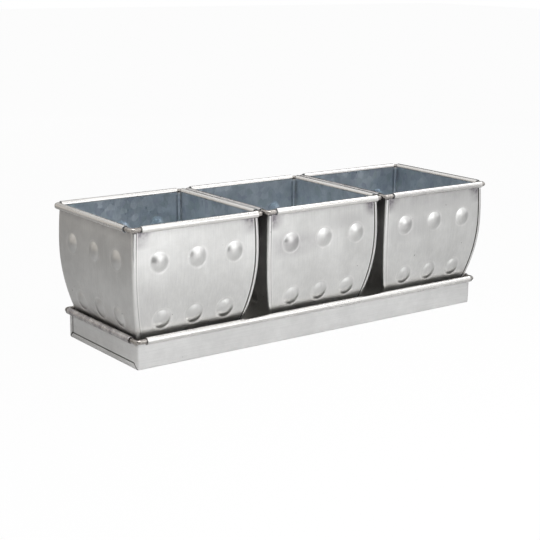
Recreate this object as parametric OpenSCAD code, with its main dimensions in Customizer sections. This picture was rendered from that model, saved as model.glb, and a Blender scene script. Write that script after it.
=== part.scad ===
// Three-pot planter: three square sheet-metal pots that lift out of one long tray.
// Millimetres. X runs along the tray, Y to the back and Z up.
// The origin is at the middle of the tray's underside.

/* [Sheet and wire] */
// Thickness of the galvanised sheet
sheet_t = 0.5; // [0.4:0.05:0.7]
// Slack between two sheets that are folded over each other
fold_gap = 0.1; // [0.05:0.05:0.2]
// Diameter of the wire that stiffens each rim
wire_d = 4; // [3:0.1:4.4]
// Slack between a rim wire and the sheet rolled round it
wire_slack = 0.4; // [0.2:0.05:0.5]
// Bend radius of a rim wire at a corner, to its centre line
wire_bend_r = 3; // [2.5:0.5:7]
// Bare wire from the centre line's corner to the end of a roll
bare_wire = 8.5; // [8:0.5:14]
// Open seam between the edge of a roll and the wall below it
roll_seam = 0.8; // [0.4:0.1:1]

/* [Pot] */
// Outside width of a pot across its rims, along the tray
pot_w = 132; // [116:1:160]
// Height of a pot, from its base to the top of its rim
pot_h = 119.8; // [110:0.1:135]
// How far below the top of the rim the walls are widest
widest_drop = 34.3; // [26:0.1:42]
// Radius of the arc that every wall follows from where it is widest down to the base
lower_wall_r = 200; // [180:5:260]
// Radius of the flatter arc that every wall follows from there up to the rim
upper_wall_r = 450; // [300:10:700]
// Outside radius of the fold between the walls and the base
base_bend_r = 3; // [2:0.5:5]
// Width of the lips folded over the front and back panels
pot_lip_w = 3; // [2:0.5:4]
// Width of the flanges turned in round each panel
flange_w = 3.5; // [2:0.5:5]
// Diameter of the drain hole in a pot's base
drain_d = 8; // [5:1:14]

/* [Domes] */
// Diameter of a dome pressed into a wall
dome_d = 18.5; // [14:0.5:22]
// Height of a dome above the wall
dome_h = 2.5; // [1.5:0.1:2.9]
// How far below the top of the rim the upper row lies
upper_row_drop = 31.5; // [26:0.5:38]
// Height of the lower row above the base
lower_row_h = 39; // [32:0.5:44]
// Distance between the domes of the upper row
upper_row_pitch = 36.5; // [28:0.5:38]
// Distance between the domes of the lower row
lower_row_pitch = 31; // [26:0.5:33]

/* [Tray] */
// Height of the tray, to the top of its rim
tray_h = 27.6; // [18:0.1:29]
// Space left between the outermost pots and the tray's ends, at the height of its rim
tray_end_play = 2.3; // [1.6:0.1:8]
// Space left between every pot and the tray's long walls, at the height of its rim
tray_side_play = 4.1; // [1.6:0.1:8]
// Space left between the rims of two pots
rim_gap = 0.3; // [0.3:0.1:4]
// Outside radius of the fold between the tray's base and its long walls
tray_bend_r = 2; // [1.5:0.5:4]
// Width of the lips folded over the tray's end panels
tray_lip_w = 4.8; // [3:0.1:6]
// Width of the flanges turned in round each end panel
tray_flange_w = 4; // [2:0.5:6]
// Width of the mitre between two lips at a corner of the tray
mitre_gap = 0.4; // [0.2:0.1:0.8]

/* [Colours] */
// Outside of the pots
pot_colour = "silver";
// Front and back panels
panel_colour = "gainsboro";
// Tray
tray_colour = "lightgray";
// Bare wire
wire_colour = "darkgray";

/* [Hidden] */
POTS = ["left", "middle", "right"];

// Smoothness of the large arcs, of the domes and of the rolls
arc_fn = 360;
dome_fn = 72;
roll_fn = 48;
// Flat steps in a fold between two sheets
fold_steps = 6;
// Extra length by which every cut passes through what it cuts
over = 1;
// Share of the sheet's thickness by which a wall steps in under its roll
neck_share = 0.1;
// Sizes that are worked out from an arc are rounded to this
size_step = 0.05;

// Rolls and wires
bore_d = wire_d + 2 * wire_slack;
roll_d = bore_d + 2 * sheet_t;
// A panel lies one sheet and one slack inside the lips that hold it
panel_inset = sheet_t + fold_gap;
// How far a roll's centre line stands outside the face of its own wall
roll_out = bore_d / 2 - neck_share * sheet_t;

// Pot: its wire runs a little nearer to the middle over the panels than over the strip
rim_half_x = (pot_w - roll_d) / 2;
rim_half_y = rim_half_x - panel_inset;
rim_z = pot_h - roll_d / 2;
wall_top = rim_z - bore_d / 2;
widest_z = pot_h - widest_drop;
pot_half = rounded(rim_half_x - roll_out + arc_drop(rim_z));
base_bend_x = sqrt(pow(lower_wall_r - base_bend_r, 2) - pow(widest_z - base_bend_r, 2))
    - arc_x(lower_wall_r);
base_bend_tilt = asin((widest_z - base_bend_r) / (lower_wall_r - base_bend_r));
pot_pitch = pot_w + rim_gap;

// Domes: a sphere's cap, as a radius and the depth of its centre below the wall's face
dome_r = (pow(dome_d / 2, 2) + pow(dome_h, 2)) / (2 * dome_h);
dome_depth = dome_r - dome_h;
// How far the wall curves away within a dome's radius
dome_sag = pow(dome_d / 2, 2) / (2 * lower_wall_r);
dome_root = (sheet_t + dome_sag) / 2;
// The hole under a dome lies between the inner and the outer edge of its root
dome_hole_r = (sqrt(pow(dome_r - sheet_t, 2) - pow(dome_depth - dome_root, 2)) + dome_d / 2) / 2;
dome_rows = [[pot_h - upper_row_drop, upper_row_pitch], [lower_row_h, lower_row_pitch]];

// Tray
tray_rim_z = tray_h - roll_d / 2;
tray_wall_top = tray_rim_z - bore_d / 2;
pot_half_at_tray = rounded(pot_half - arc_drop(tray_h - sheet_t));
tray_half_l = pot_pitch + pot_half_at_tray + tray_end_play;
tray_half_w = pot_half_at_tray + tray_side_play;
tray_rim_half_l = tray_half_l - panel_inset + roll_out;
tray_rim_half_w = tray_half_w + roll_out;

function rounded(size) = round(size / size_step) * size_step;
// Radius of the wall's arc at height z, and how far behind the pot's middle its centre lies
function arc_r(z) = z < widest_z ? lower_wall_r : upper_wall_r;
function arc_x(r) = r - pot_half;
// How much narrower the wall's arc is at height z than where it is widest
function arc_drop(z) = arc_r(z) - sqrt(pow(arc_r(z), 2) - pow(z - widest_z, 2));
// How far the outside of a pot's wall is from its middle at height z
function pot_half_at(z) = pot_half - arc_drop(z);
// Points along an arc round centre c, between two angles
function arc_points(c, r, from, to) =
    [for (i = [0 : fold_steps]) c + r * [cos(from + (to - from) * i / fold_steps),
                                         sin(from + (to - from) * i / fold_steps)]];
function mirrored(points) = [for (i = [len(points) - 1 : -1 : 0]) [-points[i][0], points[i][1]]];

// Flat outline between the wall arcs of the left and of the right, moved in by inset
module bow_outline(inset, bottom, top) {
    intersection() {
        between_arcs(inset);
        translate([-pot_w / 2, bottom]) square([pot_w, top - bottom]);
    }
}

module between_arcs(inset) {
    arc_band(lower_wall_r, inset, -over, widest_z);
    arc_band(upper_wall_r, inset, widest_z, pot_h);
}

// The part of that outline with arcs of radius r, from one height to another
module arc_band(r, inset, bottom, top) {
    intersection() {
        translate([-arc_x(r), widest_z]) circle(r = r - inset, $fn = arc_fn);
        translate([arc_x(r), widest_z]) circle(r = r - inset, $fn = arc_fn);
        translate([-pot_w / 2, bottom]) square([pot_w, top - bottom]);
    }
}

// Flat outline of a pot seen from one side, with the fold at its base
module pot_outline(inset, top) {
    bend_r = base_bend_r - inset;
    fold = arc_points([base_bend_x, base_bend_r], bend_r, -90, -base_bend_tilt);
    // The last flat of the fold runs on past the wall's arc, so that the two cross at one point
    past = fold[fold_steps] + fold_steps * (fold[fold_steps] - fold[fold_steps - 1]);
    flats = [for (i = [0 : fold_steps - 1]) fold[i]];
    right = concat(flats, [past, [pot_w / 2, past[1]], [pot_w / 2, top]]);
    intersection() {
        between_arcs(inset);
        polygon(concat(right, mirrored(right)));
    }
}

// Solid whose X outline and Y outline are the same
module pot_solid(inset, top) {
    intersection() {
        along_y(pot_w) pot_outline(inset, top);
        along_x(pot_w) pot_outline(inset, top);
    }
}

module along_y(length) rotate([90, 0, 0]) linear_extrude(length, center = true) children();
module along_x(length) rotate([90, 0, 90]) linear_extrude(length, center = true) children();

// Roll of a wall that faces +X: its tube, and what is cut from it again
module roll_tube(rim_x, z, half_length) {
    translate([rim_x, 0, z]) rotate([90, 0, 0])
        cylinder(d = roll_d, h = 2 * half_length, center = true, $fn = roll_fn);
}

module roll_cuts(rim_x, z, half_length, face_x) {
    length = 2 * (half_length + over);
    seam_x = face_x + sheet_t / 4;
    translate([rim_x, 0, z]) rotate([90, 0, 0])
        cylinder(d = bore_d, h = length, center = true, $fn = roll_fn);
    translate([seam_x, -length / 2, z - roll_d / 2 - over]) cube([roll_seam, length, roll_d / 4 + over]);
}

// Notches that leave the wire bare at both ends of a roll on the walls facing +X and -X
module corner_notches(half_x, half_y, bottom, top) {
    for (side = [-1, 1])
        translate([-half_x, side > 0 ? half_y : -half_y - pot_w, bottom])
            cube([2 * half_x, pot_w, top - bottom]);
}

// Places a child at every dome of a wall that faces +X, with its outward side along +X
module at_domes(inset) {
    for (row = dome_rows, column = [-1, 0, 1]) {
        r = arc_r(row[0]);
        tilt = asin((widest_z - row[0]) / r);
        translate([-arc_x(r), column * row[1], widest_z]) rotate([0, tilt, 0])
            translate([r - inset, 0, 0]) children();
    }
}

// Thin cap of a dome along +X, rooted in the middle of the sheet
module dome() {
    rotate([0, 90, 0]) rotate_extrude($fn = dome_fn) intersection() {
        translate([0, -dome_depth]) difference() {
            circle(r = dome_r, $fn = dome_fn);
            circle(r = dome_r - sheet_t, $fn = dome_fn);
        }
        translate([0, -dome_root]) square([dome_r, dome_root + dome_r]);
    }
}

// Hole in the wall under a dome
module dome_hole() {
    depth = sheet_t + dome_sag + over;
    translate([-depth, 0, 0]) rotate([0, 90, 0])
        cylinder(r = dome_hole_r, h = depth + over, $fn = dome_fn);
}

// Closed wire frame with rounded corners
module wire_frame(half_x, half_y) {
    for (side = [-1, 1]) {
        translate([0, side * half_y, 0]) rotate([0, 90, 0])
            cylinder(d = wire_d, h = 2 * (half_x - wire_bend_r), center = true, $fn = roll_fn);
        translate([side * half_x, 0, 0]) rotate([90, 0, 0])
            cylinder(d = wire_d, h = 2 * (half_y - wire_bend_r), center = true, $fn = roll_fn);
    }
    for (turn = [[1, 1, 0], [-1, 1, 90], [-1, -1, 180], [1, -1, 270]])
        translate([turn[0] * (half_x - wire_bend_r), turn[1] * (half_y - wire_bend_r), 0])
            rotate([0, 0, turn[2]]) rotate_extrude(angle = 90, $fn = roll_fn)
                translate([wire_bend_r, 0]) circle(d = wire_d, $fn = roll_fn);
}

// Left wall, base and right wall of a pot in one strip, with lips over both panels
module pot_side_strip() {
    seam_face = pot_half_at(rim_z - roll_d / 2);
    roll_half = rim_half_y - bare_wire;
    color(pot_colour) difference() {
        union() {
            difference() {
                pot_solid(0, rim_z);
                pot_solid(sheet_t, rim_z + over);
                along_y(pot_w + over) bow_outline(pot_lip_w, pot_lip_w, rim_z + over);
                corner_notches(rim_half_x, roll_half, wall_top, rim_z + over);
                for (turn = [0, 180]) rotate([0, 0, turn]) at_domes(0) dome_hole();
                translate([0, 0, -over]) cylinder(d = drain_d, h = sheet_t + 2 * over, $fn = roll_fn);
            }
            for (turn = [0, 180]) rotate([0, 0, turn]) {
                roll_tube(rim_half_x, rim_z, roll_half);
                at_domes(0) dome();
            }
        }
        for (turn = [0, 180]) rotate([0, 0, turn])
            roll_cuts(rim_half_x, rim_z, roll_half, seam_face);
    }
}

// Panel that closes a pot, modelled facing +X, with its flanges turned in against the strip
module pot_panel() {
    seam_face = pot_half_at(rim_z - roll_d / 2) - panel_inset;
    roll_half = rim_half_x - bare_wire;
    color(panel_colour) difference() {
        union() {
            difference() {
                pot_solid(panel_inset, rim_z);
                pot_solid(panel_inset + sheet_t, rim_z + over);
                along_y(pot_w) bow_outline(panel_inset + flange_w, 0, rim_z + over);
                translate([-pot_w, -pot_w / 2, 0]) cube([pot_w, pot_w, rim_z + over]);
                corner_notches(rim_half_y, roll_half, wall_top, rim_z + over);
                at_domes(panel_inset) dome_hole();
            }
            roll_tube(rim_half_y, rim_z, roll_half);
            at_domes(panel_inset) dome();
        }
        roll_cuts(rim_half_y, rim_z, roll_half, seam_face);
    }
}

module pot_front_panel() rotate([0, 0, -90]) pot_panel();
module pot_back_panel() rotate([0, 0, 90]) pot_panel();

module pot_rim_wire() {
    color(wire_colour) translate([0, 0, rim_z]) wire_frame(rim_half_x, rim_half_y);
}

// Flat outline of the tray seen from its end
module tray_outline(inset, top) {
    bend_r = tray_bend_r - inset;
    fold = arc_points([tray_half_w - tray_bend_r, tray_bend_r], bend_r, -90, 0);
    right = concat(fold, [[tray_half_w - inset, top]]);
    polygon(concat(right, mirrored(right)));
}

// Mitre between the bottom lip and an upright lip, at the end facing +X
module tray_mitre(side) {
    length = sqrt(2) * tray_lip_w + over;
    translate([tray_half_l - sheet_t, side * (tray_half_w - tray_lip_w), tray_lip_w])
        rotate([side * -45, 0, 0]) translate([0, side > 0 ? -over : over - length, -mitre_gap / 2])
            cube([sheet_t + over, length, mitre_gap]);
}

// Base and long walls of the tray, with lips over both end panels
module tray_pan() {
    window_w = 2 * (tray_half_w - tray_lip_w);
    color(tray_colour) difference() {
        union() {
            difference() {
                along_x(2 * tray_half_l) tray_outline(0, tray_rim_z);
                along_x(2 * (tray_half_l - sheet_t)) tray_outline(sheet_t, tray_rim_z + over);
                translate([-tray_half_l - over, -window_w / 2, tray_lip_w])
                    cube([2 * (tray_half_l + over), window_w, tray_h]);
                rotate([0, 0, 90])
                    corner_notches(tray_rim_half_w, tray_rim_half_l - bare_wire, tray_wall_top, tray_h);
            }
            for (turn = [-90, 90]) rotate([0, 0, turn])
                roll_tube(tray_rim_half_w, tray_rim_z, tray_rim_half_l - bare_wire);
        }
        for (turn = [-90, 90]) rotate([0, 0, turn])
            roll_cuts(tray_rim_half_w, tray_rim_z, tray_rim_half_l - bare_wire, tray_half_w);
        for (turn = [0, 180], side = [-1, 1]) rotate([0, 0, turn]) tray_mitre(side);
    }
}

// End panel of the tray, modelled facing +X
module tray_end() {
    face_x = tray_half_l - panel_inset;
    color(tray_colour) difference() {
        union() {
            difference() {
                translate([face_x - tray_flange_w / 2, 0, 0])
                    along_x(tray_flange_w) tray_outline(panel_inset, tray_rim_z);
                translate([face_x - sheet_t - tray_flange_w / 2, 0, 0])
                    along_x(tray_flange_w) tray_outline(panel_inset + sheet_t, tray_rim_z + over);
                corner_notches(tray_rim_half_l, tray_rim_half_w - bare_wire, tray_wall_top, tray_h);
            }
            roll_tube(tray_rim_half_l, tray_rim_z, tray_rim_half_w - bare_wire);
        }
        roll_cuts(tray_rim_half_l, tray_rim_z, tray_rim_half_w - bare_wire, face_x);
    }
}

module tray_end_left() rotate([0, 0, 180]) tray_end();
module tray_end_right() tray_end();

module tray_rim_wire() {
    color(wire_colour) translate([0, 0, tray_rim_z]) wire_frame(tray_rim_half_l, tray_rim_half_w);
}

// A pot stands on the tray's base, on its own place along the tray
module in_tray(place) translate([(place - 1) * pot_pitch, 0, sheet_t]) children();

tray_pan();
tray_end_left();
tray_end_right();
tray_rim_wire();
for (i = [0 : len(POTS) - 1]) {
    in_tray(i) pot_side_strip();
    in_tray(i) pot_front_panel();
    in_tray(i) pot_back_panel();
    in_tray(i) pot_rim_wire();
}
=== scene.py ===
import math

import bmesh
import bpy
from mathutils import Matrix, Vector, noise


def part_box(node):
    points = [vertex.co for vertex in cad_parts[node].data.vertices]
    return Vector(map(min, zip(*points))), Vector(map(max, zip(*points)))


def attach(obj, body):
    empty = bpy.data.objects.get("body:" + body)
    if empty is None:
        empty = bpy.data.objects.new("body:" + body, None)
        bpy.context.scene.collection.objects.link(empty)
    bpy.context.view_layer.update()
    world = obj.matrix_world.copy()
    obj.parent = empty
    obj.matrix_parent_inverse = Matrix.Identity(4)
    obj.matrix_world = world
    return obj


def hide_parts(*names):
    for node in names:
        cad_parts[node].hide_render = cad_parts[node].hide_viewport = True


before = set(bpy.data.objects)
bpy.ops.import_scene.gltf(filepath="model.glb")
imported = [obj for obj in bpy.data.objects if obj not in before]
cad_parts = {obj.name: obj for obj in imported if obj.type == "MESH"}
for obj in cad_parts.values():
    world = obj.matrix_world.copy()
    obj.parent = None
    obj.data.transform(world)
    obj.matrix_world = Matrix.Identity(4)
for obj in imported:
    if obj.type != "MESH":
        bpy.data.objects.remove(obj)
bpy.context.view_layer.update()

# Three galvanised pots in one long tray. Metres, X along the tray, Y to the back, Z up.

MM = 0.001

# Sheet and wire
SHEET = 0.5 * MM
FOLD_GAP = 0.1 * MM
PANEL_INSET = SHEET + FOLD_GAP
ROLL_R = 2.9 * MM
ROLL_MIDDLE = ROLL_R - SHEET / 2
ROLL_OUT = 2.35 * MM        # from a sheet's outside face to the middle of the wire in its roll
ROLL_START = math.radians(191)      # angles round the wire, up from straight outwards
ROLL_END = math.radians(-116)
ROLL_STEPS = 28
ROLL_END_STRIP = 0.7 * MM   # width of the darker strip at a roll's end
BARE_WIRE = 8.5 * MM        # before a roll's left or front end; its other end reaches the corner's bend
LIP_TRIM = MM               # how far the lips stop below the top of the wall
LIP_EDGE_STRIP = 0.5 * MM   # width of a lip's outermost column
LIP_SLACK = MM              # what lies this near to a lip counts as part of it
CUT_EDGE_ROUND, CUT_EDGE_ANGLE = 0.12 * MM, math.radians(60)
CORNER_RISE = 1.3 * MM      # how far the wall's corners stand up inside the bare wire
LEVEL_SLACK = 0.01 * MM     # points whose heights differ by less lie on one level
FACING = 0.7                # a wall's faces have at least this share of their normal along its axis

# Pots: the walls follow one arc from the base up to where they are widest, and a flatter one above
POTS = ("left", "middle", "right")
LOWER_WALL_R, UPPER_WALL_R = 200 * MM, 450 * MM
WIDEST_DROP = 34.3 * MM     # from the rim's top down to where the walls are widest
WIDEST_HALF = 61.85 * MM
BASE_FOLD_R = 3 * MM
POT_CORNER_R = 1.6 * MM
POT_LIP = 3 * MM
SHEEN_LINE = 1.8 * MM        # from a lip's edge to the line on the panel where a highlight is painted
POT_LIP_LINES = (0, 0.8 * MM, 1.3 * MM, SHEEN_LINE, 2.4 * MM)    # columns of a panel, from the lip's edge
DRAIN_R = 4 * MM
POT_CELLS = 46
ROW_STEP = 2.4 * MM
FOLD_STEPS = 5

# Sides of each pot that touch another pot
TOUCHING = {"left": ("right",), "middle": ("left", "right"), "right": ("left",)}

# Domes, in two rows of three on each wall. A row's domes are pressed unevenly.
UPPER_DOME_DROP, UPPER_DOME_PITCH = 31.5 * MM, 36.5 * MM
UPPER_DOME_RISES = (2.3 * MM, 1.6 * MM, 1.9 * MM)
LOWER_DOME_Z, LOWER_DOME_PITCH = 39 * MM, 31 * MM
LOWER_DOME_RISES = (1.7 * MM, 1.6 * MM, 1.9 * MM)
DOME_R = 6.2 * MM
DOME_FALL = 0.66            # share of its height that a dome's cap loses towards its edge
DOME_DISH_R, DOME_DISH = 8.6 * MM, 0.14 * MM
DOME_REACH = 10.8 * MM
DOME_FINE = DOME_REACH + MM         # squares this near to a dome are divided finely
DOME_FIELD = DOME_REACH + 4 * MM    # and points this near to it are laid on the wall's arc
DOME_CORE_R = 0.625 * DOME_R        # a dome's mark, painted shade on its cap outside and smoother zinc inside, is full up to here, and gone at twice this
DOME_SHEEN_RING = 0.9 * MM        # half width of the painted highlight ring round a dome
DOME_CUTS = 3               # how often a square's edge is cut near a dome

# Tray
TRAY_LIP = 4.8 * MM
TRAY_LIP_LINES = (0, 0.5 * MM, 1.2 * MM)    # columns and levels of the ends, from the lip's edge
TRAY_FOLD_R = 2 * MM
TRAY_CORNER_R = 1.4 * MM
TRAY_CELLS_X, TRAY_CELLS_Y = 104, 40
TRAY_ROWS = 8
MITRE_GAP = 0.8 * MM
MITRE_SHADE_SPREAD = 0.25 * MM      # how far the painted shade in a mitre spreads over the lips
SNAP = 0.04 * MM            # points nearer than this to a mitre's edge count as on it
WAVE_LENGTH, WAVE_DEPTH = 55 * MM, 0.12 * MM

# Dirt, stains, painted shade and painted highlights: the strength on a line, from 0 to 1, and how far from
# the line it reaches
CORNER_SHEEN = (0.25, 2.2 * MM)      # painted highlight on the bends of the side strips' lips
PANEL_SHEEN = (0.75, 0.6 * MM)       # painted highlight on the panels, beside the painted shade and dirt at the lips
SIDE_STAIN_AND_SHADE = (0.45, 7 * MM)         # these four darken the sheet under the rolls: painted shade and stain
PANEL_STAIN_AND_SHADE = (0.4, 4 * MM)
TRAY_STAIN_AND_SHADE = (0.35, 3 * MM)
TRAY_END_STAIN_AND_SHADE = (0.4, 4 * MM)
FOOT_SHADE_AND_DIRT = (0.9, 1.2 * MM)         # painted shade and dirt along the lips at the panels' feet
LEFT_LIP_TOP = (0.6, 40 * MM)       # what the share beside a left lip gains towards the rim
GROOVE_SHADE_AND_DIRT = (0.9, 0.6 * MM)       # painted shade and dirt where the rolls of two pots touch
LEFT_ROLL_SHADE = (0.5, 5 * MM)        # painted shade over the left roll of a pot that touches another there

# Strengths of the other marks
# Painted shade and dirt beside the lips' edges, on the pots and on the tray
LIP_SHADE_AND_DIRT, TRAY_LIP_SHADE_AND_DIRT = 0.97, 0.95
LEFT_LIP_SHARE = 0.35       # how much of this painted shade and dirt there is beside a pot's left lips, low down
# Painted shade in the ends of the rolls and along the tray's mitre slits
ROLL_END_SHADE, MITRE_SHADE = 0.85, 0.9
END_ROLL_STAIN = 0.6        # all over the rolls of the tray's ends
CORNER_STAIN_AND_SHADE = 2.2          # darker in the panels' top corners under the rolls, painted shade and stain, before it is held to 1
CORNER_DARK_WIDE, CORNER_DARK_HIGH = 17 * MM, 15 * MM

# Painted shade and dirt beside a lip's edge: from where to where it is full, and over what distance it fades
LIP_SHADE_BAND = (-MM, 0.95 * MM, 0.5 * MM)
TRAY_LIP_SHADE_BAND = (-0.45 * MM, 9 * MM, 0.6 * MM)

# Smudges on the panels of each pot: X, height, half width, half height and strength
SMUDGES = {
    "left": ((-48 * MM, 50 * MM, 14 * MM, 26 * MM, 0.12),),
    "middle": ((-34 * MM, 86 * MM, 40 * MM, 13 * MM, 0.3), (30 * MM, 100 * MM, 34 * MM, 9 * MM, 0.16)),
    "right": ((0, 112 * MM, 90 * MM, 16 * MM, 0.22), (-30 * MM, 84 * MM, 40 * MM, 12 * MM, 0.12)),
}

# Colours of what lies on the zinc, of painted shade and highlights on it, of its crystals, and of the wire
# Colour of stains and of painted shade under the rolls, and of specks
STAIN_AND_SHADE_COLOUR, SPECKED = (0.22, 0.2, 0.225), (0.1, 0.09, 0.08)
# Painted highlights: the first beside the lips and on their bends, the second round the domes
PAINTED_SHEEN_COLOUR, PAINTED_RING_COLOUR = (0.92, 0.91, 0.9), (0.93, 0.92, 0.91)
# Painted shade and dirt in the creases, outside and inside
CREASE_SHADE_AND_DIRT, CREASE_SHADE_AND_DIRT_INSIDE = (0.03, 0.028, 0.026), (0.1, 0.11, 0.13)
VIOLET_CRYSTAL, GREEN_CRYSTAL = (0.5, 0.51, 0.62), (0.52, 0.62, 0.58)
TARNISHED_WIRE, BRIGHT_WIRE = (0.32, 0.3, 0.28), (0.52, 0.495, 0.465)
NOISE_MIDDLE = 0.5
BUMP_DEPTH = 0.1 * MM


def box_of(node):
    """Lowest and highest corner of a CAD node, as vectors."""
    return [Vector(corner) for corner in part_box(node)]


def middle_of(node):
    low, high = box_of(node)
    return (low + high) / 2


def half_of(node):
    low, high = box_of(node)
    return (high - low) / 2


# Sizes and places that come from the CAD nodes. Heights of a pot are above its own base.
WIRE_R = half_of("left_pot_rim_wire").z
RIM_HALF = half_of("left_pot_rim_wire").xy - Vector((WIRE_R, WIRE_R))
POT_FLOOR = box_of("left_pot_side_strip")[0].z
POT_H = 2 * half_of("left_pot_side_strip").z
RIM_Z = middle_of("left_pot_rim_wire").z - POT_FLOOR
WALL_TOP = RIM_Z - ROLL_MIDDLE + SHEET / 2
WIDEST_Z = POT_H - WIDEST_DROP
DOME_ROWS = ((POT_H - UPPER_DOME_DROP, UPPER_DOME_PITCH, UPPER_DOME_RISES),
             (LOWER_DOME_Z, LOWER_DOME_PITCH, LOWER_DOME_RISES))
POT_X = {pot: middle_of(f"{pot}_pot_side_strip").x for pot in POTS}
TRAY_RIM_HALF = half_of("tray_rim_wire").xy - Vector((WIRE_R, WIRE_R))
TRAY_RIM_Z = middle_of("tray_rim_wire").z
TRAY_TOP = TRAY_RIM_Z - ROLL_MIDDLE + SHEET / 2
TRAY_HALF = TRAY_RIM_HALF - Vector((ROLL_OUT - PANEL_INSET, ROLL_OUT))

# Axis and direction of each side
SIDES = {"front": (1, -1), "back": (1, 1), "left": (0, -1), "right": (0, 1)}


def outward(side):
    axis, sign = SIDES[side]
    return Vector((0, sign, 0)) if axis else Vector((sign, 0, 0))


# Camera, at the photograph's viewing angle

CAMERA_PLACE = Vector((-687.39, -894.73, 327.23)) * MM
CAMERA_YAW, CAMERA_PITCH, CAMERA_ROLL = 0.6462, -0.2441, 0.0152
CAMERA_LENS, CAMERA_SENSOR = 84.417, 36.0


def add_camera():
    ahead = Vector((math.sin(CAMERA_YAW) * math.cos(CAMERA_PITCH),
                    math.cos(CAMERA_YAW) * math.cos(CAMERA_PITCH), math.sin(CAMERA_PITCH)))
    level = Vector((math.cos(CAMERA_YAW), -math.sin(CAMERA_YAW), 0))
    upright = level.cross(ahead)
    right = math.cos(CAMERA_ROLL) * level + math.sin(CAMERA_ROLL) * upright
    up = math.cos(CAMERA_ROLL) * upright - math.sin(CAMERA_ROLL) * level
    data = bpy.data.cameras.new("camera")
    data.lens, data.sensor_width, data.sensor_fit = CAMERA_LENS, CAMERA_SENSOR, "HORIZONTAL"
    camera = bpy.data.objects.new("camera", data)
    turn = Matrix((right, up, -ahead)).transposed()
    camera.matrix_world = Matrix.Translation(CAMERA_PLACE) @ turn.to_4x4()
    bpy.context.scene.collection.objects.link(camera)
    bpy.context.scene.camera = camera


# Shader maths

class Signal:
    """One output of a shader node, that sums can be written with."""

    def __init__(self, finish, socket):
        self.finish = finish
        self.socket = socket

    def __add__(self, other):
        return self.finish.maths("ADD", self, other)

    def __radd__(self, other):
        return self.finish.maths("ADD", other, self)

    def __sub__(self, other):
        return self.finish.maths("SUBTRACT", self, other)

    def __rsub__(self, other):
        return self.finish.maths("SUBTRACT", other, self)

    def __mul__(self, other):
        return self.finish.maths("MULTIPLY", self, other)

    def __rmul__(self, other):
        return self.finish.maths("MULTIPLY", other, self)


class Finish:
    """The nodes of a material or of the world."""

    def __init__(self, owner):
        self.owner = owner
        owner.use_nodes = True
        self.tree = owner.node_tree
        self.tree.nodes.clear()

    def node(self, kind, inputs, out=0, **settings):
        """Adds a node. Its inputs go by name or number, its settings by their own names."""
        node = self.tree.nodes.new(kind)
        for name, value in settings.items():
            setattr(node, name, value)
        for name, value in inputs.items():
            socket = node.inputs[name]
            if isinstance(value, Signal):
                self.tree.links.new(value.socket, socket)
            elif socket.type == "RGBA":
                socket.default_value = (*value, 1)
            else:
                socket.default_value = value
        return Signal(self, node.outputs[out]) if node.outputs else None

    def maths(self, operation, first, second):
        return self.node("ShaderNodeMath", {0: first, 1: second}, operation=operation)

    def steps(self, value, low, high):
        """0 below the low value, 1 above the high one, and smooth between."""
        return self.node("ShaderNodeMapRange", {"Value": value, "From Min": low, "From Max": high},
                         interpolation_type="SMOOTHSTEP")

    def place(self, stretch=(1, 1, 1)):
        spot = self.node("ShaderNodeTexCoord", {}, out="Object")
        return self.node("ShaderNodeMapping", {"Vector": spot, "Scale": stretch})

    def noise(self, scale, stretch=(1, 1, 1), detail=3.0, rough=0.5):
        return self.node("ShaderNodeTexNoise", {"Vector": self.place(stretch), "Scale": scale,
                                                "Detail": detail, "Roughness": rough})

    def cell_tints(self, scale):
        """Two numbers between 0 and 1 that change from crystal to crystal."""
        cells = self.node("ShaderNodeTexVoronoi", {"Vector": self.place(), "Scale": scale}, out="Color")
        return [self.node("ShaderNodeSeparateColor", {0: cells}, out=channel) for channel in (0, 1)]

    def mark(self, name):
        """A number that the mesh carries at each point."""
        return self.node("ShaderNodeAttribute", {}, out="Fac", attribute_name=name)

    def blend(self, share, low, high):
        """The low colour where the share is 0, the high one where it is 1."""
        return self.node("ShaderNodeMix", {0: share, 6: low, 7: high}, out=2,
                         data_type="RGBA", clamp_factor=True)

    def metal(self, colour, roughness, height, strength):
        bump = self.node("ShaderNodeBump", {"Height": height, "Strength": strength, "Distance": BUMP_DEPTH})
        shader = self.node("ShaderNodeBsdfPrincipled", {"Base Color": colour, "Roughness": roughness,
                                                        "Metallic": 1.0, "Normal": bump})
        return self.show(shader)

    def show(self, shader, kind="ShaderNodeOutputMaterial"):
        """Sends a shader to the output, and gives back the finished material or world."""
        self.node(kind, {"Surface": shader})
        return self.owner


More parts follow.
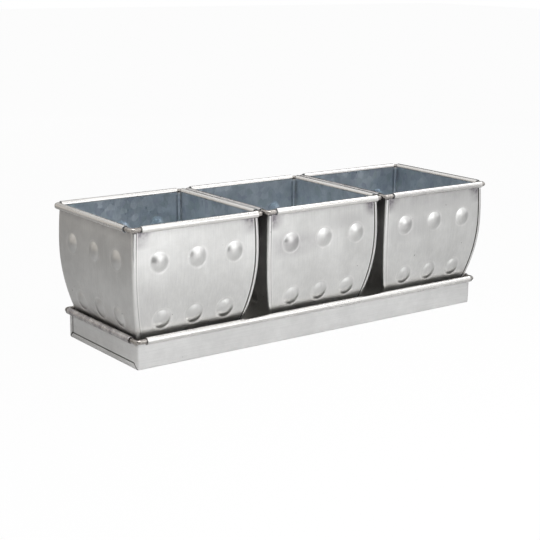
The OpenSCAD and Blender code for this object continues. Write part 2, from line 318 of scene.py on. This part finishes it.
def brushed_zinc(name, pale, grey, roughness, brushed=(1, 1, 0.03), shaded_and_soiled=1):
    """Sheet that is pale and brushed one way, with soft clouds, a few specks and stains; painted shade on
    the domes' caps, under the rolls and, with dirt, in the creases; and painted highlights beside the lips
    and round the domes.
    """
    f = Finish(bpy.data.materials.new(name))
    clouds = f.steps(f.noise(scale=26, stretch=(1, 1, 0.8), detail=4.0), low=0.34, high=0.68)
    patches = f.steps(f.noise(scale=120, detail=4.0, rough=0.6), low=0.32, high=0.7)
    brushing = f.noise(scale=1000, stretch=brushed)
    grain = f.noise(scale=900)
    specks = f.steps(f.noise(scale=330, detail=1.0), low=0.79, high=0.81)
    tone = clouds * 0.45 + patches * 0.3 + (brushing - NOISE_MIDDLE) * 0.9 + (grain - NOISE_MIDDLE) * 0.35
    # The domes' caps are darkened: painted shade that dims their highlight.
    tone = tone + 0.12 - f.mark("dome") * 0.45
    colour = f.blend(tone, grey, pale)
    # Stains, and painted shade under the rolls and over the left rolls where two pots touch.
    colour = f.blend(f.mark("stain") * (0.4 + patches * 0.9), colour, STAIN_AND_SHADE_COLOUR)
    # Painted highlight: bright lines beside the lips and on the lips' bends.
    colour = f.blend(f.mark("worn") * 0.9, colour, PAINTED_SHEEN_COLOUR)
    # Painted highlight: a bright ring round each dome.
    colour = f.blend(f.mark("ring") * (0.1 + patches * 0.5), colour, PAINTED_RING_COLOUR)
    colour = f.blend(specks * 0.75, colour, SPECKED)
    # Creases darkened: painted shade in gaps, slits and roll ends, with dirt beside the lips and in the
    # grooves.
    colour = f.blend(f.mark("crease") * shaded_and_soiled, colour, CREASE_SHADE_AND_DIRT)
    rough = roughness + (brushing - NOISE_MIDDLE) * 0.1 + (clouds - NOISE_MIDDLE) * 0.05
    return f.metal(colour, rough, height=brushing * 0.5 + grain * 0.5, strength=0.08)


def spangled_zinc(name, light, deep, roughness):
    """Inside of the sheet: bluish zinc with crystals of differing tint, rubbed smoother on the domes."""
    f = Finish(bpy.data.materials.new(name))
    tint, other = f.cell_tints(scale=170)
    grain = f.noise(scale=700, stretch=(1, 1, 0.4), detail=4.0)
    clouds = f.steps(f.noise(scale=38, detail=4.0), low=0.33, high=0.68)
    colour = f.blend(tint * 0.35 + clouds * 0.6 + (grain - NOISE_MIDDLE) * 0.7 - 0.05, deep, light)
    colour = f.blend(f.steps(other, low=0.7, high=1.0) * 0.35, colour, VIOLET_CRYSTAL)
    colour = f.blend(f.steps(1 - other, low=0.75, high=1.0) * 0.3, colour, GREEN_CRYSTAL)
    # Painted shade and dirt in the creases, fainter inside.
    colour = f.blend(f.mark("crease") * 0.45, colour, CREASE_SHADE_AND_DIRT_INSIDE)
    rough = roughness + (tint - NOISE_MIDDLE) * 0.1 + (grain - NOISE_MIDDLE) * 0.2 - f.mark("dome") * 0.13
    return f.metal(colour, rough, height=grain * 0.5 + tint * 0.3, strength=0.2)


def bare_wire_zinc(name):
    """Zinc-coated wire, drawn smooth, slightly tarnished."""
    f = Finish(bpy.data.materials.new(name))
    drawn = f.noise(scale=600)
    clouds = f.steps(f.noise(scale=90), low=0.35, high=0.7)
    colour = f.blend(clouds * 0.7 + (drawn - NOISE_MIDDLE) * 0.8, TARNISHED_WIRE, BRIGHT_WIRE)
    return f.metal(colour, 0.28 + (drawn - NOISE_MIDDLE) * 0.2, height=drawn, strength=0.1)


def make_finishes():
    return {
        "wall": brushed_zinc("brushed_pot_zinc", pale=(0.79, 0.79, 0.78), grey=(0.64, 0.64, 0.63),
                             roughness=0.34),
        "tray": brushed_zinc("brushed_tray_zinc", pale=(0.83, 0.83, 0.825), grey=(0.7, 0.7, 0.695),
                             roughness=0.36, brushed=(0.03, 0.03, 1)),
        "roll": brushed_zinc("brushed_roll_zinc", pale=(0.8, 0.79, 0.77), grey=(0.71, 0.695, 0.675),
                             roughness=0.27, brushed=(0.3, 0.3, 1)),
        "inside": spangled_zinc("spangled_zinc", light=(0.91, 0.95, 0.985), deep=(0.6, 0.655, 0.7),
                                roughness=0.35),
        # The tray's inner face is much darker than its outside: painted shade in the gaps between the tray
        # and the pots.
        "tray_inside": brushed_zinc("painted_dark_tray_zinc", pale=(0.46, 0.45, 0.43), grey=(0.36, 0.35, 0.33),
                                    roughness=0.45, shaded_and_soiled=0.1),
        "wire": bare_wire_zinc("drawn_wire_zinc"),
    }


# Sheet metal: a box of squares, open at the top, is laid out in whole numbers and then placed

def wall_arc_r(z):
    return LOWER_WALL_R if z < WIDEST_Z else UPPER_WALL_R


def pot_half_at(z):
    """Half the outside width of a pot at height z above its base."""
    radius = wall_arc_r(z)
    return WIDEST_HALF - radius + math.sqrt(radius ** 2 - (z - WIDEST_Z) ** 2)


TOP_HALF = pot_half_at(WALL_TOP)


class Shape:
    """How a box of sheet metal is folded: its levels and the places of its columns."""

    def __init__(self, cells, edges, corner_r, levels):
        self.cells = cells          # how many squares across in X and Y
        self.edges = edges          # distances of the outermost columns from a corner
        self.corner_r = corner_r
        self.levels = levels        # from the base up: half X, half Y, height, share of the rounding

    def column(self, step, axis, half):
        """Place of a column, counted from the middle, on a side of that half length."""
        near_end = self.cells[axis] // 2 - abs(step)
        last = len(self.edges) - 1
        if near_end <= last:
            across = half - self.edges[near_end]
        else:
            across = (half - self.edges[last]) * abs(step) / (self.cells[axis] // 2 - last)
        return math.copysign(across, step)

    def put(self, vert):
        """Moves a point from its whole numbers to its place, on the bend where it lies near a corner."""
        i, j, k = (round(c) for c in vert.co)
        half_x, half_y, z, rounding = self.levels[k]
        x, y = self.column(i, 0, half_x), self.column(j, 1, half_y)
        radius = self.corner_r * rounding
        on_x = abs(i) == self.cells[0] // 2
        on_y = abs(j) == self.cells[1] // 2
        if radius and (on_x or on_y):
            depth = max(half_x - abs(x), half_y - abs(y))
            if depth < radius:
                angle = (1 - depth / radius) * math.pi / 4
                along = radius * (1 - math.sin(angle))
                inward = radius * (1 - math.cos(angle))
                if on_x and on_y:
                    along = inward = radius * (1 - math.sqrt(0.5))
                x = math.copysign(half_x - (inward if on_x else along), x)
                y = math.copysign(half_y - (inward if on_y else along), y)
        vert.co = (x, y, z)


def layout_box(shape):
    """The box in whole numbers: a grid for the base, and its border drawn up level by level."""
    bm = bmesh.new()
    bmesh.ops.create_grid(bm, x_segments=shape.cells[0], y_segments=shape.cells[1], size=0.5)
    bmesh.ops.scale(bm, vec=(shape.cells[0], shape.cells[1], 1), verts=bm.verts)
    bmesh.ops.reverse_faces(bm, faces=bm.faces)
    border = [e for e in bm.edges if e.is_boundary]
    for _ in shape.levels[1:]:
        drawn = bmesh.ops.extrude_edge_only(bm, edges=border)["geom"]
        corners = [g for g in drawn if isinstance(g, bmesh.types.BMVert)]
        bmesh.ops.translate(bm, vec=(0, 0, 1), verts=corners)
        border = [g for g in drawn if isinstance(g, bmesh.types.BMEdge) and g.is_boundary]
    return bm


def drop_faces(bm, unwanted):
    bmesh.ops.delete(bm, geom=[f for f in bm.faces if unwanted(f.calc_center_median())], context="FACES")


def under_roll(spot, side, span):
    """Whether a place lies on that side of the middle and within the span of the side's roll."""
    axis, _ = SIDES[side]
    along = spot[1 - axis]
    return spot.dot(outward(side)) > 0 and span[0] - FOLD_GAP < along < span[1] + FOLD_GAP


def folded(shape, unwanted, spans):
    """The box without its unwanted squares, put in its real place.

    Its top stands up to the bare wire wherever no roll's span covers it.
    """
    bm = layout_box(shape)
    drop_faces(bm, unwanted)
    top = shape.levels[-1][2]
    for vert in bm.verts:
        shape.put(vert)
        rolled = any(under_roll(vert.co, side, span) for side, span in spans.items())
        if vert.co.z > top - FOLD_GAP and not rolled:
            vert.co.z += CORNER_RISE
    for name in ("crease", "stain", "worn", "dome", "ring"):
        bm.verts.layers.float.new(name)
    bm.normal_update()
    return bm


def pot_levels(inset):
    """Levels of a pot's sheet whose middle lies inset inside its outside face."""
    radius = BASE_FOLD_R
    rise = math.asin((WIDEST_Z - radius) / (LOWER_WALL_R - radius))
    fold_x = (LOWER_WALL_R - radius) * math.cos(rise) - LOWER_WALL_R + WIDEST_HALF
    levels = []
    for step in range(FOLD_STEPS + 1):
        angle = (math.pi / 2 - rise) * step / FOLD_STEPS
        half = fold_x + (radius - inset) * math.sin(angle)
        levels.append((half, half, radius - (radius - inset) * math.cos(angle), step / FOLD_STEPS))
    lip_top = WALL_TOP - LIP_TRIM
    rows = math.ceil((lip_top - POT_LIP) / ROW_STEP)
    for z in (*(POT_LIP + (lip_top - POT_LIP) * row / rows for row in range(rows + 1)), WALL_TOP):
        half = pot_half_at(z) - inset
        levels.append((half, half, z, 1))
    return levels


def tray_levels(inset):
    """Levels of a tray's sheet whose middle lies inset inside its outside face."""
    radius = TRAY_FOLD_R - inset
    levels = []
    for step in range(FOLD_STEPS + 1):
        angle = math.pi / 2 * step / FOLD_STEPS
        drop = TRAY_FOLD_R - radius * math.sin(angle)
        z = TRAY_FOLD_R - radius * math.cos(angle)
        levels.append((TRAY_HALF.x - drop, TRAY_HALF.y - drop, z, step / FOLD_STEPS))
    *beside_lip, low = (TRAY_LIP + line for line in TRAY_LIP_LINES)
    rise = TRAY_TOP - LIP_TRIM - low
    for z in (*beside_lip, *(low + rise * row / TRAY_ROWS for row in range(TRAY_ROWS + 1)), TRAY_TOP):
        levels.append((TRAY_HALF.x - inset, TRAY_HALF.y - inset, z, 1))
    return levels


# Marks, which a sheet carries at each point and its finish reads

def near(value, target, reach):
    """1 at the target, falling to 0 at that reach."""
    return max(0.0, 1 - abs(value - target) / reach)


def band(value, low, high, fade):
    """1 between two values, falling to 0 outside them."""
    return max(0.0, min(1.0, 1 + min(value - low, high - value) / fade))


def faded(mark, distance):
    """A mark, given by its strength and reach, at a distance from its line."""
    strength, reach = mark
    return strength * near(distance, 0, reach)


def roll_end_mark(co, axis, top, span):
    """Painted shade in the end of a roll, on the points of its last column."""
    return ROLL_END_SHADE * (co.z > top + FOLD_GAP and min(abs(co[axis] - end) for end in span) < FOLD_GAP)


def mitre_mark(co):
    """Painted shade along the edges of the slits between the tray's lips."""
    from_corner = TRAY_HALF.y - abs(co.y)
    on_lip = abs(co.x) > TRAY_HALF.x - LIP_SLACK and max(co.z, from_corner) < TRAY_LIP + LIP_SLACK
    beside_slit = abs(co.z - from_corner) / math.sqrt(2) < MITRE_GAP / 2 + FOLD_GAP
    return MITRE_SHADE * (on_lip and beside_slit)


def paint(bm, **layers):
    """Writes each mark onto every point, from a function of the point's place."""
    for name, value_at in layers.items():
        layer = bm.verts.layers.float[name]
        for vert in bm.verts:
            vert[layer] = value_at(vert.co)


# Shaping

def dome_places(side):
    """Middle of each dome on a wall's outside, the way it points and its height."""
    away = outward(side)
    along = Vector((-away.y, away.x, 0))
    for height, pitch, rises in DOME_ROWS:
        radius = wall_arc_r(height)
        lean = math.asin((WIDEST_Z - height) / radius)
        centre = Vector((0, 0, WIDEST_Z)) - away * (radius - WIDEST_HALF)
        normal = away * math.cos(lean) - Vector((0, 0, math.sin(lean)))
        for column, rise in zip((-1, 0, 1), rises):
            yield centre + normal * radius + along * column * pitch, normal, rise


def eased(share, start, end, start_slope):
    """Smooth curve from the start, at its slope, to the end, where it runs level."""
    a, b = share ** 2, share ** 3
    return (2 * b - 3 * a + 1) * start + (b - 2 * a + share) * start_slope + (3 * a - 2 * b) * end


def dome_rise(distance, height):
    """How far a dome lifts the sheet, at a distance from its middle: a cap in a shallow dished ring."""
    if distance >= DOME_REACH:
        return 0
    if distance <= DOME_R:
        return height * (1 - DOME_FALL * (distance / DOME_R) ** 2)
    if distance <= DOME_DISH_R:
        span = DOME_DISH_R - DOME_R
        return eased((distance - DOME_R) / span, (1 - DOME_FALL) * height, -DOME_DISH,
                     -2 * DOME_FALL * height / DOME_R * span)
    return eased((distance - DOME_DISH_R) / (DOME_REACH - DOME_DISH_R), -DOME_DISH, 0, 0)


def press_domes(bm, side, inset):
    """Divides the wall finely round each dome, lays the points on the wall's arc and raises them."""
    axis, sign = SIDES[side]

    def close(face, centre):
        middle = face.calc_center_median()
        on_wall = middle[axis] * sign > 0 and abs(face.normal[axis]) > FACING
        return on_wall and (middle - centre).length < DOME_FINE

    for centre, _, _ in dome_places(side):
        edges = dict.fromkeys(e for f in bm.faces if close(f, centre) for e in f.edges)
        bmesh.ops.subdivide_edges(bm, edges=list(edges), cuts=DOME_CUTS, use_grid_fill=True)
    dome, ring = bm.verts.layers.float["dome"], bm.verts.layers.float["ring"]
    for centre, normal, height in dome_places(side):
        for vert in bm.verts:
            if (vert.co - centre).length > DOME_FIELD or vert.co[axis] * sign < 0:
                continue
            vert.co[axis] = sign * (pot_half_at(vert.co.z) - inset)
            gap = vert.co - (centre - normal * inset)
            distance = (gap - normal * gap.dot(normal)).length
            vert.co += normal * dome_rise(distance, height)
            # The dome mark darkens the cap outside: painted shade.
            vert[dome] = band(distance, 0, DOME_CORE_R, DOME_CORE_R)
            # The ring mark is a painted highlight round the dome.
            vert[ring] = near(distance, DOME_DISH_R + DOME_SHEEN_RING, DOME_SHEEN_RING)


def roll_rim(bm, side, top, span, axis_half, rim_z):
    """Rolls the top edge of one side outwards round the wire, within its span."""
    axis, _ = SIDES[side]
    away = outward(side)
    edges = [e for e in bm.edges if e.is_boundary
             and all(abs(v.co.z - top) < FOLD_GAP and under_roll(v.co, side, span) for v in e.verts)]
    core = away * axis_half + Vector((0, 0, rim_z))
    drawn = bmesh.ops.extrude_edge_only(bm, edges=edges)["geom"]
    start = core + ROLL_MIDDLE * (away * math.cos(ROLL_START) + Vector((0, 0, math.sin(ROLL_START))))
    for vert in (g for g in drawn if isinstance(g, bmesh.types.BMVert)):
        vert.co[axis] = start[axis]
        vert.co.z = start.z
    lip = [g for g in drawn if isinstance(g, bmesh.types.BMEdge) and g.is_boundary
           and all(abs(v.co.z - start.z) < LEVEL_SLACK for v in g.verts)]
    before = set(bm.faces)
    corners = dict.fromkeys(v for e in lip for v in e.verts)
    bmesh.ops.spin(bm, geom=[*lip, *corners], cent=core, axis=away.cross(Vector((0, 0, 1))),
                   angle=ROLL_END - ROLL_START, steps=ROLL_STEPS, use_duplicate=False)
    for face in bm.faces:
        if face not in before:
            face.material_index = 1
    bm.normal_update()


def wave(bm):
    """Slight unevenness of hand-folded sheet above its base, the same for neighbours at one place."""
    for vert in bm.verts:
        fade = min(1.0, max(0.0, vert.co.z / TRAY_LIP - 1))
        vert.co += vert.normal * WAVE_DEPTH * fade * noise.noise(vert.co / WAVE_LENGTH)


def lip_faces(bm, corner):
    """Faces of the two lips that meet at one of the tray's bottom corners."""
    for face in bm.faces:
        spot = face.calc_center_median() - corner
        upright = abs(face.normal.x) > FACING and abs(spot.x) < LIP_SLACK
        if upright and max(abs(spot.y), spot.z) < TRAY_LIP + LIP_SLACK:
            yield face


def cut_mitres(bm):
    """Slits the lips along the diagonal from the tray's bottom corners, and lines each slit for its painted
    shade.
    """
    half = MITRE_GAP / 2
    for end, side in ((-1, -1), (-1, 1), (1, -1), (1, 1)):
        corner = Vector((end * TRAY_HALF.x, side * TRAY_HALF.y, 0))
        across = Vector((0, side, 1)).normalized()
        for shift in (-half - MITRE_SHADE_SPREAD, -half, half, half + MITRE_SHADE_SPREAD):
            geom = dict.fromkeys(part for f in lip_faces(bm, corner) for part in (f, *f.edges, *f.verts))
            bmesh.ops.bisect_plane(bm, geom=list(geom), dist=SNAP,
                                   plane_co=corner + across * shift, plane_no=across)
        bm.normal_update()
        slit = [f for f in lip_faces(bm, corner)
                if abs((f.calc_center_median() - corner).dot(across)) < half]
        bmesh.ops.delete(bm, geom=slit, context="FACES")


def finish_sheet(bm, name, skins, body, node, shift=Vector()):
    """Makes a sheet's object, with its thickness, rounded cut edges, skins and place. Uses up the bmesh."""
    bmesh.ops.translate(bm, vec=shift, verts=bm.verts)
    for face in bm.faces:
        face.smooth = True
    mesh = bpy.data.meshes.new(name)
    bm.to_mesh(mesh)
    bm.free()
    for skin in skins:
        mesh.materials.append(skin)
    piece = bpy.data.objects.new(name, mesh)
    bpy.context.scene.collection.objects.link(piece)
    # The inner face takes the next skin. On a roll, whose squares start from the second, it faces out.
    thick = piece.modifiers.new("sheet", "SOLIDIFY")
    thick.thickness, thick.offset, thick.use_even_offset = SHEET, 0, True
    thick.material_offset, thick.material_offset_rim = 1, 0
    soft = piece.modifiers.new("cut_edges", "BEVEL")
    soft.width, soft.segments = CUT_EDGE_ROUND, 2
    soft.limit_method, soft.angle_limit = "ANGLE", CUT_EDGE_ANGLE
    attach(piece, body)
    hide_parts(node)


# Pots

def make_side_strip():
    """Left wall, base and right wall in one, with lips over the front and back panels."""
    inset = SHEET / 2
    roll_half = RIM_HALF.y - BARE_WIRE
    roll_gap = TOP_HALF - inset - roll_half
    span = (-roll_half, TOP_HALF - inset - POT_CORNER_R)
    edges = (0, POT_CORNER_R / 2, POT_CORNER_R, POT_LIP - LIP_EDGE_STRIP, POT_LIP,
             roll_gap, roll_gap + ROLL_END_STRIP)
    lip, half = edges.index(POT_LIP), POT_CELLS // 2
    shape = Shape((POT_CELLS, POT_CELLS), edges, POT_CORNER_R, pot_levels(inset))
    top = len(shape.levels) - 2

    def unwanted(c):
        return abs(c.y) == half and (c.z > top or abs(c.x) < half - lip and c.z > FOLD_STEPS + 1)

    bm = folded(shape, unwanted, {"left": span, "right": span})
    for side in ("left", "right"):
        press_domes(bm, side, inset)
    drop_faces(bm, lambda c: c.z < SHEET and c.xy.length < DRAIN_R)
    for vert in bm.verts:
        if vert.is_boundary and vert.co.z < SHEET and vert.co.xy.length < 2 * DRAIN_R:
            vert.co.xy = vert.co.xy.normalized() * DRAIN_R
    for side in ("left", "right"):
        roll_rim(bm, side, WALL_TOP, span, RIM_HALF.x, RIM_Z)

    # Painted highlight on the bends of the lips.
    def worn(co):
        from_corner = pot_half_at(min(co.z, WALL_TOP)) - abs(co.y)
        return faded(CORNER_SHEEN, from_corner) * (co.z > POT_LIP)

    # Painted shade in the rolls' ends, and painted shade and stain under the rolls.
    paint(bm, worn=worn, crease=lambda co: roll_end_mark(co, 1, WALL_TOP, span),
          stain=lambda co: faded(SIDE_STAIN_AND_SHADE, co.z - WALL_TOP) * (co.z < WALL_TOP + FOLD_GAP))
    return bm


def make_panel(side):
    """Front or back panel, with its flanges turned in against the side strip."""
    inset = PANEL_INSET + SHEET / 2
    _, sign = SIDES[side]
    roll_half = RIM_HALF.x - BARE_WIRE
    lip_edge = POT_LIP - inset
    roll_gap = TOP_HALF - inset - roll_half
    edges = (0, POT_CORNER_R / 2, POT_CORNER_R, *(lip_edge + line for line in POT_LIP_LINES),
             roll_gap, roll_gap + ROLL_END_STRIP)
    flange, half = edges.index(lip_edge) + 1, POT_CELLS // 2
    shape = Shape((POT_CELLS, POT_CELLS), edges, POT_CORNER_R, pot_levels(inset))
    short_end = TOP_HALF - inset - POT_CORNER_R
    span = (-roll_half if side == "front" else -short_end, short_end)
    bm = folded(shape, lambda c: c.y * sign < half - flange, {side: span})
    press_domes(bm, side, inset)
    roll_rim(bm, side, WALL_TOP, span, RIM_HALF.y, RIM_Z)

    def from_lip(co):
        """Distance from the lip's edge to a place on the panel's face."""
        return pot_half_at(min(co.z, WALL_TOP)) - POT_LIP - abs(co.x)

    # Painted shade of the lip's step and dirt beside the lips' edges and at the feet, weaker beside the left
    # lips low down; painted shade in the roll's end.
    def crease(co):
        shade_share = 1 if co.x > 0 else LEFT_LIP_SHARE + faded(LEFT_LIP_TOP, co.z - WALL_TOP)
        beside_lip = LIP_SHADE_AND_DIRT * shade_share * band(from_lip(co), *LIP_SHADE_BAND) * (co.z < WALL_TOP)
        return max(beside_lip, faded(FOOT_SHADE_AND_DIRT, co.z - POT_LIP), roll_end_mark(co, 0, WALL_TOP, span))

    # Painted shade and stain under the roll, strongest in the top corners.
    def stain(co):
        corner = near(abs(co.x), TOP_HALF, CORNER_DARK_WIDE) * near(co.z, WALL_TOP, CORNER_DARK_HIGH)
        whole = CORNER_STAIN_AND_SHADE * corner + faded(PANEL_STAIN_AND_SHADE, co.z - WALL_TOP)
        return min(1.0, whole) * (co.z < WALL_TOP + FOLD_GAP)

    # Painted highlight: a bright line on the panel beside the lip.
    def worn(co):
        return faded(PANEL_SHEEN, from_lip(co) - SHEEN_LINE) * (co.z < WALL_TOP)

    paint(bm, crease=crease, stain=stain, worn=worn)
    return bm


def smudge(bm, smudges):
    """Adds soft grey smudges to a panel's mark of stains and painted shade: each has its place, half size
    and strength.
    """
    stain = bm.verts.layers.float["stain"]
    for x, z, wide, high, strength in smudges:
        for vert in bm.verts:
            depth = 1 - ((vert.co.x - x) / wide) ** 2 - ((vert.co.z - z) / high) ** 2
            vert[stain] = max(vert[stain], strength * max(0, depth))


def shade_and_soil_grooves(bm, sides):
    """Painted shade and dirt along the outermost line of the rolls that touch another pot's, and painted
    shade over left ones.
    """
    crease, stain = bm.verts.layers.float["crease"], bm.verts.layers.float["stain"]
    for side in sides:
        for vert in (v for v in bm.verts if v.co.z > WALL_TOP):
            from_line = vert.co.dot(outward(side)) - RIM_HALF.x - ROLL_MIDDLE
            vert[crease] = max(vert[crease], faded(GROOVE_SHADE_AND_DIRT, from_line))
            if side == "left":
                vert[stain] = max(vert[stain], faded(LEFT_ROLL_SHADE, from_line))


def make_pots(finishes):
    """Three pots, from one shape of each sheet, with painted shade and dirt in their touching rolls, and
    smudged in their own ways.
    """
    skins = [finishes[name] for name in ("wall", "inside", "roll")]
    strip = make_side_strip()
    panels = {side: make_panel(side) for side in ("front", "back")}
    for pot in POTS:
        shift = Vector((POT_X[pot], 0, POT_FLOOR))
        body = f"{pot}_pot"
        shaded_and_soiled = strip.copy()
        shade_and_soil_grooves(shaded_and_soiled, TOUCHING[pot])
        finish_sheet(shaded_and_soiled, f"{body}_sides", skins, body, f"{body}_side_strip", shift)
        for side, panel in panels.items():
            smudged = panel.copy()
            smudge(smudged, SMUDGES[pot])
            finish_sheet(smudged, f"{body}_{side}", skins, body,
                         f"{body}_{side}_panel", shift)
    for shape in (strip, *panels.values()):
        shape.free()


# Tray

def tray_shape(inset, lip_edges):
    """Shape of the tray's sheets, and the spans of their rolls along X and along Y."""
    roll_half = TRAY_RIM_HALF - Vector((BARE_WIRE, BARE_WIRE))
    roll_gap = TRAY_HALF.x - inset - roll_half.x
    edges = (0, TRAY_CORNER_R / 2, TRAY_CORNER_R, *lip_edges, roll_gap, roll_gap + ROLL_END_STRIP)
    short_end = TRAY_HALF - Vector((inset + TRAY_CORNER_R, inset + TRAY_CORNER_R))
    spans = [(-roll_half[axis], short_end[axis]) for axis in (0, 1)]
    return Shape((TRAY_CELLS_X, TRAY_CELLS_Y), edges, TRAY_CORNER_R, tray_levels(inset)), spans


def make_tray_pan():
    """Base and long walls, with mitred lips folded over the end panels."""
    shape, spans = tray_shape(SHEET / 2, (TRAY_LIP - LIP_EDGE_STRIP, TRAY_LIP))
    half_x, half_y = TRAY_CELLS_X // 2, TRAY_CELLS_Y // 2
    lip = shape.edges.index(TRAY_LIP)
    top = len(shape.levels) - 2

    def unwanted(c):
        return abs(c.x) == half_x and (c.z > top or abs(c.y) < half_y - lip and c.z > FOLD_STEPS + 1)

    bm = folded(shape, unwanted, {"front": spans[0], "back": spans[0]})
    for side in ("front", "back"):
        roll_rim(bm, side, TRAY_TOP, spans[0], TRAY_RIM_HALF.y, TRAY_RIM_Z)
    wave(bm)
    cut_mitres(bm)
    # Painted shade and stain under the rolls; painted shade in the rolls' ends and the mitre slits.
    paint(bm, stain=lambda co: faded(TRAY_STAIN_AND_SHADE, co.z - TRAY_TOP),
          crease=lambda co: max(roll_end_mark(co, 0, TRAY_TOP, spans[0]), mitre_mark(co)))
    return bm


def make_tray_end(side):
    """End panel, with its flanges turned in and its edges under the pan's lips."""
    inset = PANEL_INSET + SHEET / 2
    _, sign = SIDES[side]
    lip_edge = TRAY_LIP - inset
    shape, spans = tray_shape(inset, [lip_edge + line for line in TRAY_LIP_LINES])
    flange = shape.edges.index(lip_edge)
    bm = folded(shape, lambda c: c.x * sign < TRAY_CELLS_X // 2 - flange, {side: spans[1]})
    roll_rim(bm, side, TRAY_TOP, spans[1], TRAY_RIM_HALF.x, TRAY_RIM_Z)
    wave(bm)

    # Painted shade of the lips' step and dirt beside their edges; painted shade in the roll's end.
    def crease(co):
        under_lip = max(abs(co.y) - (TRAY_HALF.y - TRAY_LIP), TRAY_LIP - co.z)
        beside_lip = TRAY_LIP_SHADE_AND_DIRT * band(under_lip, *TRAY_LIP_SHADE_BAND) * (co.z < TRAY_TOP)
        return max(beside_lip, roll_end_mark(co, 1, TRAY_TOP, spans[1]))

    # Painted shade and stain under the roll.
    def stain(co):
        return END_ROLL_STAIN if co.z > TRAY_TOP + FOLD_GAP else faded(TRAY_END_STAIN_AND_SHADE, co.z - TRAY_TOP)

    paint(bm, crease=crease, stain=stain)
    return bm


def make_tray(finishes):
    skins = [finishes[name] for name in ("tray", "tray_inside", "roll")]
    finish_sheet(make_tray_pan(), "tray_sheet", skins, "tray", "tray_pan")
    for side in ("left", "right"):
        finish_sheet(make_tray_end(side), f"tray_{side}_end", skins, "tray",
                     f"tray_end_{side}")


def dress_wires(finishes):
    for node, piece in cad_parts.items():
        if node.endswith("rim_wire"):
            for place in piece.material_slots:
                place.material = finishes["wire"]


# Studio

WHITE = (1, 1, 1)
WORLD_LIGHT = 0.12          # strength of the world as a light; where it is seen, it is plain white
FLOOR_HALF = 6
PAPER = (0.9, 0.9, 0.9)
FLOOR_TO_CAMERA, FLOOR_IN_METAL = 0.97, 0.08    # shares of plain white that the floor shows to each
CARD_STEPS = 24
POT_MIDDLE = Vector((0, 0, 0.06))


def add_world():
    world = bpy.data.worlds.new("studio")
    bpy.context.scene.world = world
    f = Finish(world)
    camera, glossy, through = [f.node("ShaderNodeLightPath", {}, out=name) for name in
                               ("Is Camera Ray", "Is Glossy Ray", "Is Transmission Ray")]
    seen = f.maths("MAXIMUM", camera, f.maths("MAXIMUM", glossy, through))
    strength = seen * (1 - WORLD_LIGHT) + WORLD_LIGHT
    light = f.node("ShaderNodeBackground", {"Color": WHITE, "Strength": strength})
    f.show(light, "ShaderNodeOutputWorld")


def stage_piece(name, bm, material):
    mesh = bpy.data.meshes.new(name)
    bm.to_mesh(mesh)
    bm.free()
    piece = bpy.data.objects.new(name, mesh)
    mesh.materials.append(material)
    bpy.context.scene.collection.objects.link(piece)
    return piece


def add_floor():
    """Pale paper that takes the planter's shadow. To the camera it is nearly white, and to metal darker."""
    bm = bmesh.new()
    bmesh.ops.create_grid(bm, x_segments=1, y_segments=1, size=FLOOR_HALF)
    f = Finish(bpy.data.materials.new("floor_paper"))
    paper = f.node("ShaderNodeBsdfDiffuse", {"Color": PAPER})
    white = f.node("ShaderNodeEmission", {"Color": WHITE, "Strength": 1.0})
    camera = f.node("ShaderNodeLightPath", {}, out="Is Camera Ray")
    glossy = f.node("ShaderNodeLightPath", {}, out="Is Glossy Ray")
    share = camera * FLOOR_TO_CAMERA + glossy * FLOOR_IN_METAL
    stage_piece("floor", bm, f.show(f.node("ShaderNodeMixShader", {0: share, 1: paper, 2: white})))


def add_card(name, radius, start, end, high, colour):
    """Dim card out of the camera's sight, round the table from one angle to another, in degrees."""
    bm = bmesh.new()
    angles = [math.radians(start + (end - start) * step / CARD_STEPS) for step in range(CARD_STEPS + 1)]
    ring = [bm.verts.new((radius * math.cos(angle), radius * math.sin(angle), 0)) for angle in angles]
    edges = [bm.edges.new(pair) for pair in zip(ring, ring[1:])]
    drawn = bmesh.ops.extrude_edge_only(bm, edges=edges)["geom"]
    top = [g for g in drawn if isinstance(g, bmesh.types.BMVert)]
    bmesh.ops.translate(bm, vec=(0, 0, high), verts=top)
    f = Finish(bpy.data.materials.new(name))
    card = stage_piece(name, bm, f.show(f.node("ShaderNodeEmission", {"Color": colour})))
    card.visible_camera = False


def add_lamp(name, place, size, power, target=POT_MIDDLE, spread=180):
    """Area lamp of that width and height, aimed at the target. Its spread is in degrees."""
    data = bpy.data.lights.new(name, "AREA")
    data.shape, data.size, data.size_y, data.energy = "RECTANGLE", size[0], size[1], power
    data.spread = math.radians(spread)
    lamp = bpy.data.objects.new(name, data)
    lamp.location = place
    lamp.rotation_euler = (target - place).to_track_quat("-Z", "Y").to_euler()
    lamp.visible_camera = False
    bpy.context.scene.collection.objects.link(lamp)


def add_studio():
    add_world()
    add_floor()
    add_card("rear_card", radius=1.5, start=28, end=68, high=1.35, colour=(0.03, 0.03, 0.03))
    add_card("back_card", radius=1.5, start=66, end=118, high=0.98, colour=(0.43, 0.415, 0.395))
    add_card("side_card", radius=1.5, start=118, end=255, high=0.7, colour=(0.64, 0.605, 0.565))
    add_card("black_card", radius=0.66, start=-152, end=-100, high=0.36, colour=(0.08, 0.08, 0.08))
    add_lamp("main", place=Vector((-0.18, -0.84, 1.05)), size=(0.9, 0.8), power=6.8,
             target=Vector((-0.18, -0.8, 0)), spread=94)
    add_lamp("front", place=Vector((0.5, -1.25, 0.45)), size=(0.8, 0.7), power=1.9)
    add_lamp("right", place=Vector((1.0, 0.15, 1.15)), size=(1.3, 0.5), power=3.6)


finishes = make_finishes()
add_camera()
add_studio()
make_pots(finishes)
make_tray(finishes)
dress_wires(finishes)
bpy.context.scene.view_settings.view_transform = "Standard"
